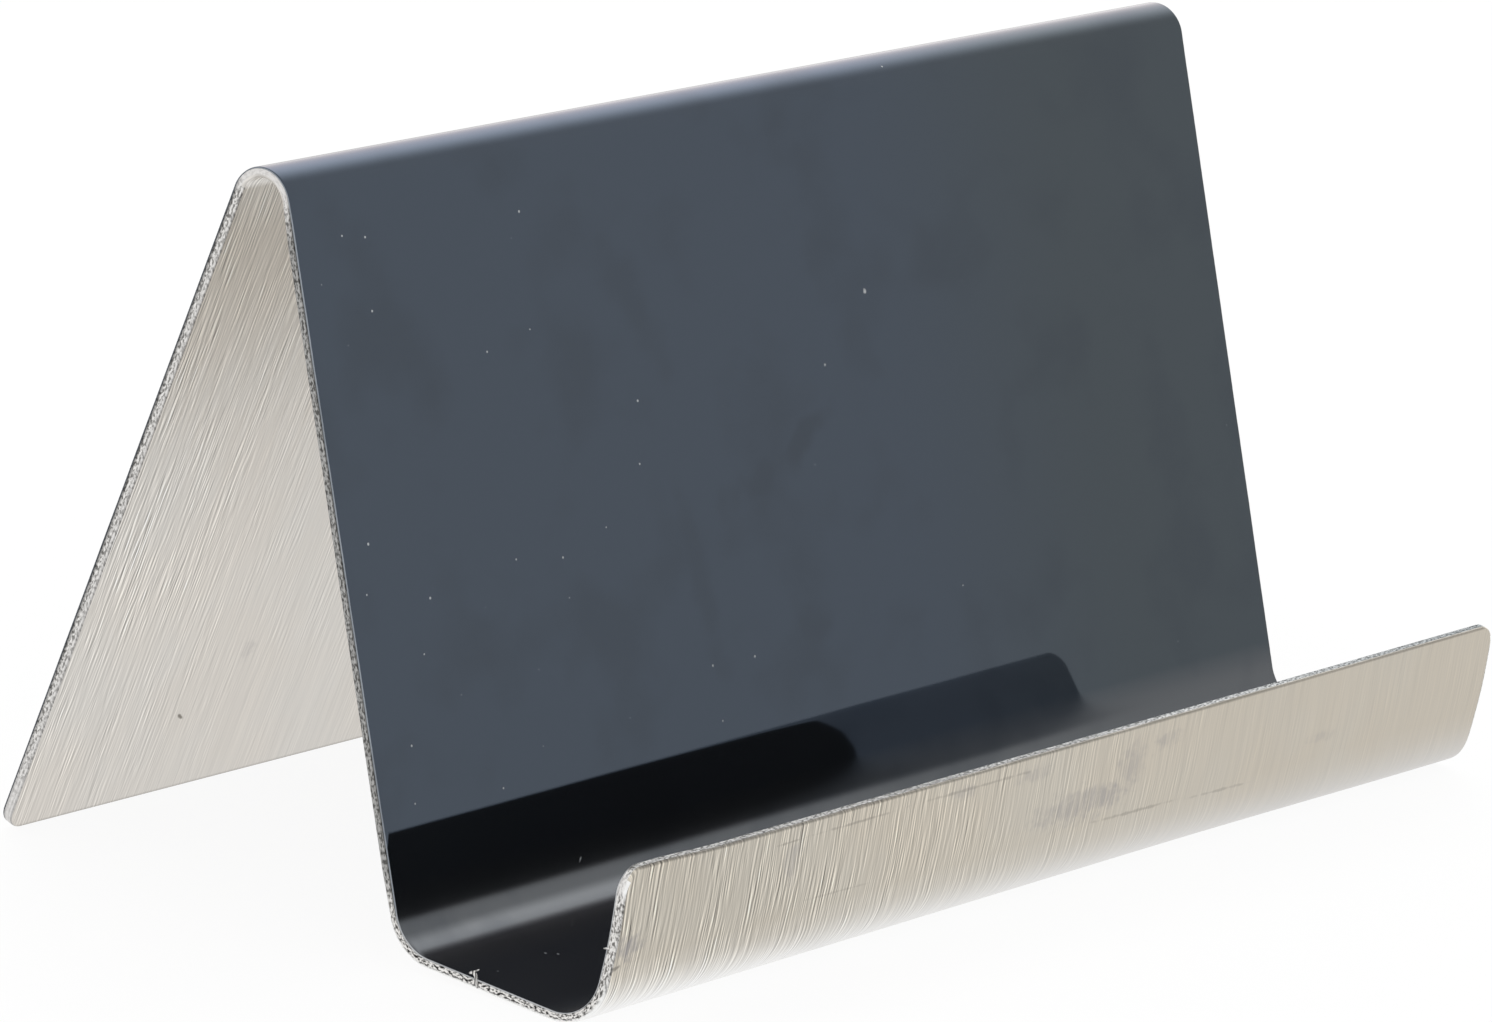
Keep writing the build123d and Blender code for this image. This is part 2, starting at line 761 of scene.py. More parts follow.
    def ragged(self, rows: int) -> tuple[np.ndarray, np.ndarray]:
        """Draws the grain of the cut and the wandering of the edge, both from 0 to 1.

        Args:
            rows: Number of rows round the edge's section.

        Returns:
            One value for each point of the edge, and one for each point of the outline.
        """
        chance = np.random.default_rng(self.seed)
        rough = chance.random((len(self.loop), rows))
        grain = (np.roll(rough, 1, 0) + 2 * rough + np.roll(rough, -1, 0)) / 4
        drift = chance.random(len(self.loop))
        for reach in self.drift_reaches:
            drift = (np.roll(drift, reach) + drift + np.roll(drift, -reach)) / 3
        kept = (grain, self.grain_range), (drift, self.drift_range)
        grain, drift = (np.clip((drawn - floor) * gain, 0.0, 1.0) for drawn, (floor, gain) in kept)
        return grain, drift

    def cut(self, shell: Shell) -> None:
        """Adds the cut edge, the first rows of points in the shell.

        Args:
            shell: Points and faces of the layer.
        """
        inset, depth, torn = self.edge.rows(self.near, self.far)
        rows, rounding = len(inset), self.edge.round_steps
        grain, drift = self.ragged(rows)
        places = [place for place, _ in self.loop]
        centre, sine, cosine, _ = self.outline
        over = self.strip.over(centre)
        rough = 1.0 - self.calm(centre)[places, None]
        ends = SHARP_SIDES.share(self.strip, centre) * cosine
        sharp = np.maximum(self.top_sharp * over, self.end_sharp * ends)
        square = np.maximum(ZONES[Trait.DULL].share(self.strip, centre), -sine)
        insets = np.repeat(inset[None], len(places), 0)
        # Each rounding has one more row of points than of faces, and a rim beside it
        insets[:, :rounding + 2] *= 1.0 - sharp[places, None]
        insets[:, -rounding - 2:] *= 1.0 - self.far_sharp * square[places, None]
        insets += (self.edge.tear * torn * grain + self.edge.waver * drift[:, None]) * rough
        share = np.repeat(self.shares[[column for _, column in self.loop]], rows)
        across, along = self.spot(np.repeat(places, rows), share, insets.ravel())
        depths = np.tile(depth, len(places))
        shell.place(across, along, depths, (depths - self.near) / (self.far - self.near))
        rolled = np.maximum(sine, over) > self.tip_from
        last = rows - 2
        for level in range(rows - 1):
            rounded = level >= last - rounding
            for number, place in enumerate(places):
                here, there = number * rows + level, (number + 1) % len(places) * rows + level
                face = level < self.edge.rolled or level == last or (rounded and rolled[place])
                shell.skin([[here, there, there + 1, here + 1]], Side.FACE if face else Side.EDGE)

    def cover(self, shell: Shell, depth: float, level: int, rows: int, inset: float) -> None:
        """Adds one of the two faces inside the cut edge.

        Args:
            shell: Points and faces of the layer, with its cut edge.
            depth: Depth of the face.
            level: Row of the cut edge that it joins.
            rows: Number of rows of the cut edge.
            inset: How far in from the outline that row lies.
        """
        kept = np.flatnonzero(self.outline.kept)
        inner = np.arange(1, self.columns)
        row = np.repeat(kept[1:-1], len(inner))
        share = np.tile(self.shares[1:-1], len(kept) - 2)
        across, along = self.spot(row, share, np.full(len(row), inset))
        first = shell.place(across, along, depth, 1.0)
        grid = {spot: number * rows + level for number, spot in enumerate(self.loop)}
        for number, spot in enumerate(zip(row.tolist(), np.tile(inner, len(kept) - 2).tolist())):
            grid[spot] = first + number
        last = self.columns
        for low, high in zip(kept[:-1].tolist(), kept[1:].tolist()):
            ladder = range(low, high + 1)
            shell.skin([
                [grid[step, side] for step in ladder] + [grid[high, inside], grid[low, inside]]
                for side, inside in ((0, 1), (last, last - 1))
            ], Side.FACE)
            shell.skin([
                [grid[low, column], grid[low, column + 1], grid[high, column + 1], grid[high, column]]
                for column in range(1, last - 1)
            ], Side.FACE)

    def traits(self, across: np.ndarray, along: np.ndarray) -> dict[Trait, np.ndarray]:
        """Strength of the traits that follow from a place on the strip.

        Args:
            across: Places across the strip.
            along: Distances from the foot.

        Returns:
            Each of those traits with its strength at each place.
        """
        strength = {trait: zone.share(self.strip, along) for trait, zone in ZONES.items()}
        lead, rise = self.tip_lead
        tip = smooth((along - self.strip.length + lead) / rise)
        rightward = smooth(across / self.strip.width + self.tip_shift)
        # The top bend's inside gets a painted highlight, and the lip's corners the painted highlight of LIT
        # on the cut
        pale = Zone(((Fold.TOP, Fold.TOP),), self.top_pale_beyond, self.top_pale_beyond)
        for trait, more in (
            (Trait.DULL, tip * (1.0 + self.tip_dull * rightward)),
            (Trait.LIT, self.corner(along)),
            (Trait.PAINTED_BEND_LIGHT, self.top_pale * pale.share(self.strip, along)),
        ):
            strength[trait] = np.maximum(strength[trait], more)
        strength[Trait.CALM] = np.maximum(self.calm(along), self.tip_still * tip * rightward)
        return strength

    def build(self) -> bpy.types.Object:
        """Makes the layer's mesh and dresses it.

        Returns:
            The new piece.
        """
        shell = Shell()
        self.cut(shell)
        inset, _, _ = self.edge.rows(self.near, self.far)
        rows = len(inset)
        self.cover(shell, self.near, 0, rows, inset[0])
        self.cover(shell, self.far, rows - 1, rows, inset[-1])
        for sliver in self.slivers:
            sliver.grow(shell, self.strip)
        return self.dress(shell)

    def dress(self, shell: Shell) -> bpy.types.Object:
        """Turns a shell into a piece with its map and traits, in its place in the frame.

        Args:
            shell: Points and faces of the layer.

        Returns:
            The new piece.
        """
        across, along, depth, cut = shell.points.T
        mesh = bpy.data.meshes.new(self.name)
        mesh.from_pydata(self.strip.lay(across, along, depth).tolist(), [], shell.faces)
        mesh.polygons.foreach_set("material_index", [side.value for side in shell.sides])
        mesh.polygons.foreach_set("use_smooth", [True] * len(shell.faces))
        corners = np.zeros(len(mesh.loops), np.int32)
        mesh.loops.foreach_get("vertex_index", corners)
        strip_map = mesh.uv_layers.new(name=STRIP_MAP)
        strip_map.uv.foreach_set("vector", (shell.points[corners, :2] * MM).ravel())
        for trait, values in {**self.traits(across, along), Trait.CUT: cut}.items():
            mesh.attributes.new(trait.value, "FLOAT", "POINT").data.foreach_set("value", values)
        whole = bmesh.new()
        whole.from_mesh(mesh)
        bmesh.ops.recalc_face_normals(whole, faces=whole.faces)
        whole.to_mesh(mesh)
        whole.free()
        piece = bpy.data.objects.new(self.name, mesh)
        bpy.context.scene.collection.objects.link(piece)
        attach(piece, BODY)
        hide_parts(self.node)
        return piece


@dataclass(frozen=True)
class Mark:
    """A smudge, scratch or thread on a face of the strip: a ragged ellipse, in millimetres.

    Attributes:
        across: Place of its middle across the strip.
        along: Distance of its middle from the foot.
        half_across: Half its size across the strip.
        half_along: Half its size along the strip.
        share: How far it covers the finish, from 0 to 1.
        turn: Degrees by which it is turned.
    """

    across: float
    along: float
    half_across: float
    half_along: float
    share: float
    turn: float = 0.0


# How deep the tears in a mark's border are, and where the torn border fades, in halves of its size
MARK_TEAR = 1.4
MARK_BORDER = (1.7, 0.9)


def masked(new: Adder, strip: Socket, marks: tuple[Mark, ...], ragged_mm: float) -> Socket:
    """Adds the nodes of some marks.

    Args:
        new: Adds a node to the tree of the finish.
        strip: Socket with the place on the strip.
        marks: The marks.
        ragged_mm: Size of the tears in their borders.

    Returns:
        Socket with how far the marks cover the finish.
    """
    tears = new("TexNoise", {"Vector": strip, "Scale": PER_MM / ragged_mm, "Detail": 2.0}, **FLAT)
    covered: Socket | float = 0.0
    for mark in marks:
        place = new("Mapping", {
            "Vector": strip,
            "Location": (mark.across * MM, mark.along * MM, 0.0),
            "Rotation": (0.0, 0.0, math.radians(mark.turn)),
            "Scale": (mark.half_across * MM, mark.half_along * MM, 1.0),
        }, vector_type="TEXTURE")
        reach = new("VectorMath", {0: place}, "Value", operation="LENGTH")
        torn = new("Math", {0: tears, 1: MARK_TEAR, 2: reach}, operation="MULTIPLY_ADD")
        share = new("MapRange", Ramp(*MARK_BORDER, high=mark.share).feeds(torn), **EASED)
        covered = new("Math", {0: share, 1: covered}, operation="MAXIMUM")
    return covered


def start_finish(name: str) -> tuple[bpy.types.Material, bpy.types.Node, Adder]:
    """Makes a new material with nodes.

    Args:
        name: Name of the material.

    Returns:
        The material, its shader and what adds a node to its tree.
    """
    material = bpy.data.materials.new(name)
    material.use_nodes = True
    return material, material.node_tree.nodes["Principled BSDF"], partial(add, material.node_tree)


@dataclass(frozen=True)
class BrushedStainless:
    """Stainless steel brushed along the strip with a belt.

    It gives the eye a warm grey with fine belt lines that run along the strip, each with a
    painted lit and a painted shaded flank, highlights drawn out across them, painted highlights
    on the bends that a die pressed, painted shade lines at the foot and along the lip's rolled
    edge, and a few smudges and scratches from handling.
    """

    tip_mm: float
    leg: str = "#D5D1CB"
    lip: str = "#C6BFB2"
    warm: str = "#CFC3B4"
    cool: str = "#CDCCC8"
    # pressed and the colour after it are the painted highlight of the bends, at the left and at the right
    pressed: str = "#FBFBFA"
    painted_shine_right: str = "#D6D4D1"
    smudge: str = "#9A9798"
    scratch: str = "#837E76"
    # The leg's tone turns into the lip's between these distances from the foot
    tone_mm: Ramp = Ramp(48.0, 118.0)
    tint_share: float = 0.12
    anisotropy: float = 0.5
    # Width and length of a belt line, which is really about 0.05 mm wide: coarser, so that it shows
    line_mm: tuple[float, float] = (0.2, 4.2)
    flank_shift: float = 0.6
    line_contrast: float = 2.6
    line_depth_mm: float = 0.003
    relief: float = 0.6
    shaded: float = 0.75
    streak_mm: tuple[float, float] = (0.6, 11.0)
    streak_middle: float = 0.5
    streak_contrast: float = 0.3
    roughness: Ramp = Ramp(-0.2, 0.2, 0.3, 0.42)
    patch_mm: tuple[float, float] = (2.4, 8.0)
    patch: Ramp = Ramp(0.36, 0.64, 0.3)
    mottle_mm: float = 13.0
    hue: Ramp = Ramp(0.38, 0.62)
    # The lines are fainter on the bends that a die pressed, and the painted highlight there fades to the
    # right
    pressed_lines: Ramp = Ramp(0.0, 1.0, 1.0, 0.25)
    painted_shine_fade_mm: Ramp = Ramp(-46.0, 25.0)
    # The belt has bitten deeper at the left side than at the right, on the leg most of all
    leg_worn_mm: Ramp = Ramp(-46.0, -28.0, 1.05, 0.3)
    foot_worn_mm: Ramp = Ramp(0.0, 15.0, 0.45)
    lip_worn_mm: Ramp = Ramp(-46.0, 25.0, 1.2, 0.1)
    smudges: tuple[Mark, ...] = (
        Mark(-46.1, 122.8, 1.6, 1.4, 0.8),
        Mark(-30.7, 125.6, 1.2, 1.8, 0.35),
        Mark(-12.9, 126.9, 1.8, 0.7, 0.3),
        Mark(-5.4, 126.8, 2.8, 0.8, 0.3),
        Mark(0.2, 123.5, 6.5, 1.6, 0.5),
        Mark(3.1, 123.6, 3.0, 1.2, 0.6),
        Mark(5.6, 125.4, 2.0, 2.2, 0.4),
        Mark(9.4, 126.5, 2.0, 0.7, 0.4),
        Mark(28.0, 123.3, 2.2, 0.6, 0.25),
        Mark(-28.7, 10.7, 0.9, 1.2, 0.3),
    )
    scratches: tuple[Mark, ...] = (
        Mark(-31.0, 127.0, 1.8, 0.13, 0.45, 1.0),
        Mark(-24.0, 127.05, 4.5, 0.14, 0.45, 0.3),
        Mark(-11.0, 127.1, 8.0, 0.14, 0.35, -0.2),
        Mark(-25.0, 122.4, 4.5, 0.12, 0.25, -1.0),
        Mark(7.0, 121.75, 6.0, 0.16, 0.4, -1.0),
        Mark(16.5, 121.4, 4.0, 0.15, 0.35, -1.5),
        Mark(-46.9, 121.6, 0.6, 0.2, 0.8, 15.0),
        Mark(-33.4, 6.25, 0.55, 0.16, 1.0, -35.0),
    )
    smudge_grain_mm: float = 0.7
    # Smudges cling to the belt lines
    cling_mm: tuple[float, float] = (0.45, 3.0)
    cling_shift: float = 0.3
    cling: Ramp = Ramp(0.42, 0.58, 0.45)
    # Painted shade line along the foot, by the distance from it
    foot_shade_mm: Ramp = Ramp(0.0, 0.24, 0.6)
    # Width of the painted shade line where the lip's rolled edge meets the cut, and its tone to the right
    tip_shade_mm: float = 0.19
    rim: Ramp = Ramp(0.0, 1.0, 0.04, 0.2)

    def make(self) -> bpy.types.Material:
        """Makes the material.

        Returns:
            The brushed steel material.
        """
        material, shader, new = start_finish("brushed_stainless_steel")
        strip = new("UVMap", uv_map=STRIP_MAP)
        across, along = (new("SeparateXYZ", {0: strip}, axis) for axis in (0, 1))
        bend = new("Attribute", output="Fac", attribute_name=Trait.PAINTED_BEND_LIGHT.value)

        def grain(width: float, length: float, shift: float = 0.0) -> Socket:
            """Adds noise that is drawn out along the strip.

            Args:
                width: Width of its grains in millimetres.
                length: Their length in millimetres.
                shift: Share of that width by which they are moved aside.

            Returns:
                Socket with the noise.
            """
            laid = new("Mapping", {
                "Vector": strip, "Location": (shift, 0.0, 0.0),
                "Scale": (PER_MM / width, PER_MM / length, 1.0),
            })
            return new("TexNoise", {"Vector": laid, "Scale": 1.0, "Detail": 2.0, "Roughness": 0.6}, **FLAT)

        # Each belt line gets a painted lit flank and a painted shaded flank in its colour, beside its bump
        line = grain(*self.line_mm)
        both = new("Math", {0: line, 1: grain(*self.line_mm, self.flank_shift)}, operation="SUBTRACT")
        less = new("Math", {0: both, 1: self.shaded}, operation="MULTIPLY")
        lines = new("Math", {0: both, 1: less}, operation="MAXIMUM")
        place, faded, foot = (
            new("MapRange", ramp.feeds(along, MM))
            for ramp in (self.tone_mm, self.foot_worn_mm, self.foot_shade_mm)
        )
        leg_worn, rightward = (
            new("MapRange", ramp.feeds(across, MM)) for ramp in (self.leg_worn_mm, self.painted_shine_fade_mm)
        )
        lip_worn = new("MapRange", self.lip_worn_mm.feeds(across, MM), **EASED)
        leg_faded = new("Math", {0: leg_worn, 1: faded}, operation="MULTIPLY")
        worn = new("Mix", {0: place, 2: leg_faded, 3: lip_worn})
        patch = new("MapRange", self.patch.feeds(grain(*self.patch_mm)))
        kept = new("MapRange", self.pressed_lines.feeds(bend))
        for share in (worn, kept, patch):
            lines = new("Math", {0: lines, 1: share}, operation="MULTIPLY")
        streak = new("Math", {0: grain(*self.streak_mm), 1: self.streak_middle}, operation="SUBTRACT")
        shade = new("Math", {0: streak, 1: self.streak_contrast, 2: 1.0}, operation="MULTIPLY_ADD")
        shade = new("Math", {0: lines, 1: self.line_contrast, 2: shade}, operation="MULTIPLY_ADD")
        # Painted shade lines along the lip's rolled edge and along the foot darken the colour
        rim = new("MapRange", {
            **Ramp(self.tip_mm - self.tip_shade_mm, self.tip_mm, 1.0).feeds(along, MM),
            "To Max": new("MapRange", self.rim.feeds(rightward)),
        })
        for share in (foot, rim):
            shade = new("Math", {0: shade, 1: share}, operation="MULTIPLY")

        mottled = new("TexNoise", {
            "Vector": strip, "Scale": PER_MM / self.mottle_mm, "Detail": 3.0,
        }, **FLAT)
        hue = new("MapRange", self.hue.feeds(mottled))
        tone, tint, painted_shine = (
            new("Mix", {0: share, 6: linear(start), 7: linear(end)}, **COLOURS) for share, start, end in (
                (place, self.leg, self.lip), (hue, self.warm, self.cool),
                (rightward, self.pressed, self.painted_shine_right),
            )
        )
        # The bends get a painted highlight, fading to the right
        for share, over in ((self.tint_share, tint), (bend, painted_shine)):
            tone = new("Mix", {0: share, 6: tone, 7: over}, **COLOURS)
        colour = new("Mix", {0: 1.0, 6: tone, 7: shade}, blend_type="MULTIPLY", **COLOURS)
        cling = new("MapRange", self.cling.feeds(grain(*self.cling_mm, self.cling_shift)))
        greasy, scratched = (
            masked(new, strip, marks, self.smudge_grain_mm) for marks in (self.smudges, self.scratches)
        )
        greasy = new("Math", {0: greasy, 1: cling}, operation="MULTIPLY")
        for share, over in ((greasy, self.smudge), (scratched, self.scratch)):
            colour = new("Mix", {0: share, 6: colour, 7: linear(over)}, **COLOURS)
        feed(shader, {
            "Base Color": colour,
            "Roughness": new("MapRange", self.roughness.feeds(streak)),
            "Normal": new("Bump", {
                "Height": line, "Distance": self.line_depth_mm * MM, "Strength": self.relief,
            }),
            "Tangent": new("Tangent", direction_type="UV_MAP", uv_map=STRIP_MAP),
            "Metallic": 1.0,
            "Anisotropic": self.anisotropy,
        })
        return material


@dataclass(frozen=True)
class ShearedStainless:
    """Stainless steel cut by a shear.

    The cut is torn into bright and dark grains between a painted shade line under the facing and a
    painted highlight rim on the steel side, so the edge sparkles beside the calm brushed face.
    """

    bright: str = "#F3F1EE"
    torn: str = "#8F8D8A"
    deep: str = "#2C2A28"
    dull: str = "#A4A6A7"
    # pale is the colour of the painted highlights on the cut
    pale: str = "#FCFCFB"
    still: str = "#E6E4E2"
    notch_shadow: str = "#4A4A49"
    dull_share: float = 0.75
    # Torn grains are about 0.05 mm across; these are coarser so that they show
    grain_mm: float = 0.15
    grain_length_mm: float = 0.3
    grain_depth_mm: float = 0.03
    relief: float = 0.45
    shade: Ramp = Ramp(0.37, 0.57)
    roughness: Ramp = Ramp(0.0, 1.0, 0.65, 0.4)
    thickness_mm: float = 0.6
    # Share of the way through the cut, and how light the cut is there: painted light and shade of its
    # rounded and creased section
    bands: tuple[tuple[float, float], ...] = (
        (0.0, 0.55), (0.08, 0.92), (0.2, 0.86), (0.45, 1.0), (0.68, 0.78), (0.84, 1.0),
        (0.94, 0.66), (1.0, 0.6),
    )
    # Painted shade under the facing: the cut is darker there, down to a share of the way through
    under: Ramp = Ramp(0.05, 0.34)
    under_leg_mm: Ramp = Ramp(3.0, 13.0, 0.8, 0.32)
    under_panel: float = 0.26
    under_end_mm: Ramp = Ramp(101.0, 102.5)
    leg_end_mm: Ramp = Ramp(47.0, 50.5)
    # On the leg the grain grows calmer towards the steel side
    steady: Ramp = Ramp(0.45, 0.8, 0.0, 0.48)
    # The painted shade bands of the cut fade where it is smooth, but not at the foot
    eased_from_mm: float = 10.0
    # Painted highlights: the shelf's cut towards the bench, and a rim on the dull cuts
    lit: Ramp = Ramp(0.55, 0.9)
    rim: Ramp = Ramp(0.95, 1.0)
    # Painted shadow in the gaps beside the burr, as the run round the edge and the depth into the cut
    notches: tuple[Mark, ...] = (
        Mark(60.7, 0.3, 0.09, 0.24, 0.9, 12.0),
        Mark(61.98, 0.24, 0.08, 0.26, 0.8, 8.0),
    )
    notch_grain_mm: float = 0.15

    def make(self) -> bpy.types.Material:
        """Makes the material.

        Returns:
            The cut edge's material.
        """
        material, shader, new = start_finish("sheared_stainless_steel")
        strip = new("UVMap", uv_map=STRIP_MAP)
        across, along = (new("SeparateXYZ", {0: strip}, axis) for axis in (0, 1))
        depth, shelf, calm, dulled = (
            new("Attribute", output="Fac", attribute_name=trait.value)
            for trait in (Trait.CUT, Trait.LIT, Trait.CALM, Trait.DULL)
        )
        run = new("Math", {0: across, 1: along}, operation="ADD")
        deep = new("Math", {0: depth, 1: self.thickness_mm * MM}, operation="MULTIPLY")
        place = new("CombineXYZ", {0: run, 1: deep})
        laid = new("Mapping", {
            "Vector": place, "Scale": (PER_MM / self.grain_length_mm, PER_MM / self.grain_mm, 1.0),
        })
        grain = new("TexNoise", {"Vector": laid, "Scale": 1.0, "Detail": 1.5, "Roughness": 0.6}, **FLAT)
        shade = new("MapRange", self.shade.feeds(grain))
        past_leg, leg_least = (
            new("MapRange", ramp.feeds(along, MM)) for ramp in (self.leg_end_mm, self.under_leg_mm)
        )
        on_leg = new("Math", {0: 1.0, 1: past_leg}, operation="SUBTRACT")
        steady, last = (new("MapRange", ramp.feeds(depth)) for ramp in (self.steady, self.rim))
        steadied = new("Math", {0: steady, 1: on_leg}, operation="MULTIPLY")
        still = new("Math", {0: calm, 1: steadied}, operation="MAXIMUM")
        colour = linear(self.torn)
        for share, over in ((shelf, self.deep), (shade, self.bright), (still, self.still)):
            colour = new("Mix", {0: share, 6: colour, 7: linear(over)}, **COLOURS)
        duller = new("Math", {0: dulled, 1: self.dull_share}, operation="MULTIPLY")
        worn = new("Mix", {
            0: duller, 6: colour, 7: linear(self.dull),
        }, blend_type="MULTIPLY", clamp_factor=False, **COLOURS)
        band = new("ValToRGB", {"Fac": depth})
        stops = band.node.color_ramp.elements
        while len(stops) < len(self.bands):
            stops.new(1.0)
        for stop, (share, light) in zip(stops, self.bands):
            stop.position = share
            stop.color = (light, light, light, 1.0)
        least = new("Mix", {0: past_leg, 2: leg_least, 3: self.under_panel})
        ended = new("MapRange", {**self.under_end_mm.feeds(along, MM), "To Min": least})
        dim = new("MapRange", {**self.under.feeds(depth), "To Min": ended})
        dimmed = new("Mix", {0: 1.0, 6: band, 7: dim}, blend_type="MULTIPLY", **COLOURS)
        high = new("Math", {0: along, 1: self.eased_from_mm * MM}, operation="GREATER_THAN")
        ease = new("Math", {0: calm, 1: high}, operation="MULTIPLY")
        eased = new("Mix", {0: ease, 6: dimmed, 7: linear(WHITE)}, **COLOURS)
        colour = new("Mix", {0: 1.0, 6: worn, 7: eased}, blend_type="MULTIPLY", **COLOURS)
        low = new("MapRange", self.lit.feeds(depth), **EASED)
        lit, rim = (
            new("Math", {0: share, 1: trait}, operation="MULTIPLY")
            for share, trait in ((low, shelf), (last, dulled))
        )
        highlit = new("Math", {0: lit, 1: rim}, operation="MAXIMUM")
        gap_shadow = masked(new, place, self.notches, self.notch_grain_mm)
        for share, over in ((highlit, self.pale), (gap_shadow, self.notch_shadow)):
            colour = new("Mix", {0: share, 6: colour, 7: linear(over)}, **COLOURS)
        feed(shader, {
            "Base Color": colour,
            "Roughness": new("MapRange", self.roughness.feeds(shade)),
            "Normal": new("Bump", {
                "Height": grain, "Distance": self.grain_depth_mm * MM, "Strength": self.relief,
            }),
            "Metallic": 1.0,
        })
        return material


@dataclass(frozen=True)
class BlackMirror:
    """Gloss black metallic coating, laid on in a vacuum and left mirror bright.

    It shows a dark, slightly blue mirror image of what is round it, a little veiled by a
    thin haze, with a painted lighter reflection and a painted highlight line in the bend into the
    shelf, faint wipe marks and a few pale specks of dust.
    """

    name: str = "gloss_black_vacuum_coating"
    leg: str = "#474F59"
    blue: str = "#474F59"
    grey: str = "#474E53"
    wiped: str = "#3F454C"
    dust: str = "#A9ACAE"
    # low, matt and the glint are lighter than the mirror: a painted reflection and a painted highlight line
    # in the trough and on the shelf
    low: str = "#54575B"
    matt: str = "#5E6164"
    painted_glint: str = "#76797C"
    grazing: str = "#C2BEBF"
    metallic: float = 0.94
    haze: float = 0.04
    haze_roughness: float = 0.5
    roughness: float = 0.03
    matt_roughness: float = 0.26
    matt_share: float = 1.0
    # Where the leg's colour ends, the panel's turns grey and the shelf's painted lighter reflection begins
    leg_mm: Ramp = Ramp(48.0, 53.0, 1.0, 0.0)
    grey_mm: Ramp = Ramp(6.0, 34.0)
    low_mm: Ramp = Ramp(99.5, 102.0)
    # A painted highlight runs along a line in the bend into the shelf
    painted_glint_mm: float = 103.35
    painted_glint_half_mm: float = 0.68
    mottle_mm: float = 9.0
    mottle: Ramp = Ramp(0.5, 0.7, 0.0, 0.35)
    # Dust settles in a cell here and there, more of them towards the left
    dust_spacing_mm: float = 4.6
    dust_radius_mm: float = 0.1
    dust_roughness: float = 0.8
    dust_mm: Ramp = Ramp(-48.0, 0.0, 0.8, 0.06)
    dust_end_mm: float = 99.0
    wipes: tuple[Mark, ...] = (
        Mark(-6.0, 80.0, 5.0, 2.0, 0.45, -15.0),
        Mark(-0.5, 77.5, 4.5, 1.3, 0.5, -35.0),
        Mark(-3.0, 90.5, 3.0, 2.4, 0.4),
        Mark(-16.5, 66.0, 2.2, 7.0, 0.3, -25.0),
        Mark(-13.5, 85.0, 1.6, 9.0, 0.3, -8.0),
        Mark(39.0, 84.0, 3.0, 12.0, 0.3),
    )
    wipe_grain_mm: float = 3.0
    threads: tuple[Mark, ...] = (
        Mark(-29.4, 101.2, 0.32, 0.08, 1.0, 128.0),
        Mark(7.9, 69.0, 0.22, 0.22, 1.0),
        Mark(2.6, 73.3, 0.16, 0.12, 0.7),
        Mark(-40.0, 108.65, 0.12, 0.12, 0.6),
        Mark(-39.4, 109.2, 0.12, 0.1, 0.6),
        Mark(-45.2, 109.1, 0.12, 0.1, 0.4),
    )
    thread_grain_mm: float = 0.3

    def make(self) -> bpy.types.Material:
        """Makes the material.

        Returns:
            The black mirror material.
        """
        material, shader, new = start_finish(self.name)
        strip = new("UVMap", uv_map=STRIP_MAP)
        across, along = (new("SeparateXYZ", {0: strip}, axis) for axis in (0, 1))
        greyer = new("MapRange", self.grey_mm.feeds(across, MM), **EASED)
        on_leg, lower = (new("MapRange", ramp.feeds(along, MM)) for ramp in (self.leg_mm, self.low_mm))
        bends = new("Attribute", output="Fac", attribute_name=Trait.MATT.value)
        pressed = new("Math", {0: bends, 1: self.matt_share}, operation="MULTIPLY")
        past = new("Math", {0: along, 1: self.painted_glint_mm * MM}, operation="SUBTRACT")
        away = new("Math", {0: past}, operation="ABSOLUTE")
        painted_shine = new("MapRange", Ramp(self.painted_glint_half_mm, 0.0).feeds(away, MM), **EASED)
        matt = new("Mix", {0: painted_shine, 6: linear(self.matt), 7: linear(self.painted_glint)}, **COLOURS)
        cloud = new("TexNoise", {"Vector": strip, "Scale": PER_MM / self.mottle_mm, "Detail": 4.0}, **FLAT)
        filmed = new("MapRange", self.mottle.feeds(cloud))
        smears = masked(new, strip, self.wipes, self.wipe_grain_mm)
        smeared = new("Math", {0: filmed, 1: smears}, operation="MAXIMUM")

        cell = {"Vector": strip, "Scale": PER_MM / self.dust_spacing_mm}
        distance, draw = (
            new("TexVoronoi", cell, output, voronoi_dimensions="2D") for output in ("Distance", "Color")
        )
        chance, size = (new("SeparateColor", {0: draw}, channel) for channel in (0, 1))
        radius = self.dust_radius_mm / self.dust_spacing_mm
        reach = new("Math", {0: size, 1: radius}, operation="MULTIPLY")
        most = new("MapRange", self.dust_mm.feeds(across, MM))
        speck, there, high = (
            new("Math", {0: value, 1: limit}, operation="LESS_THAN")
            for value, limit in ((distance, reach), (chance, most), (along, self.dust_end_mm * MM))
        )
        for share in (there, high):
            speck = new("Math", {0: speck, 1: share}, operation="MULTIPLY")
        threads = masked(new, strip, self.threads, self.thread_grain_mm)
        dusty = new("Math", {0: speck, 1: threads}, operation="MAXIMUM")

        colour = linear(self.blue)
        for share, over in (
            (greyer, linear(self.grey)), (on_leg, linear(self.leg)), (lower, linear(self.low)),
            (pressed, matt), (smeared, linear(self.wiped)), (dusty, linear(self.dust)),
        ):
            colour = new("Mix", {0: share, 6: colour, 7: over}, **COLOURS)
        matted = new("MapRange", {
            "Value": pressed, "To Min": self.roughness, "To Max": self.matt_roughness,
        })
        feed(shader, {
            "Base Color": colour,
            "Roughness": new("MapRange", {"Value": dusty, "To Min": matted, "To Max": self.dust_roughness}),
            "Metallic": new("MapRange", {"Value": dusty, "To Min": self.metallic, "To Max": 0.0}),
            "Specular Tint": linear(self.grazing),
            "Sheen Weight": self.haze,
            "Sheen Roughness": self.haze_roughness,
        })
        return material


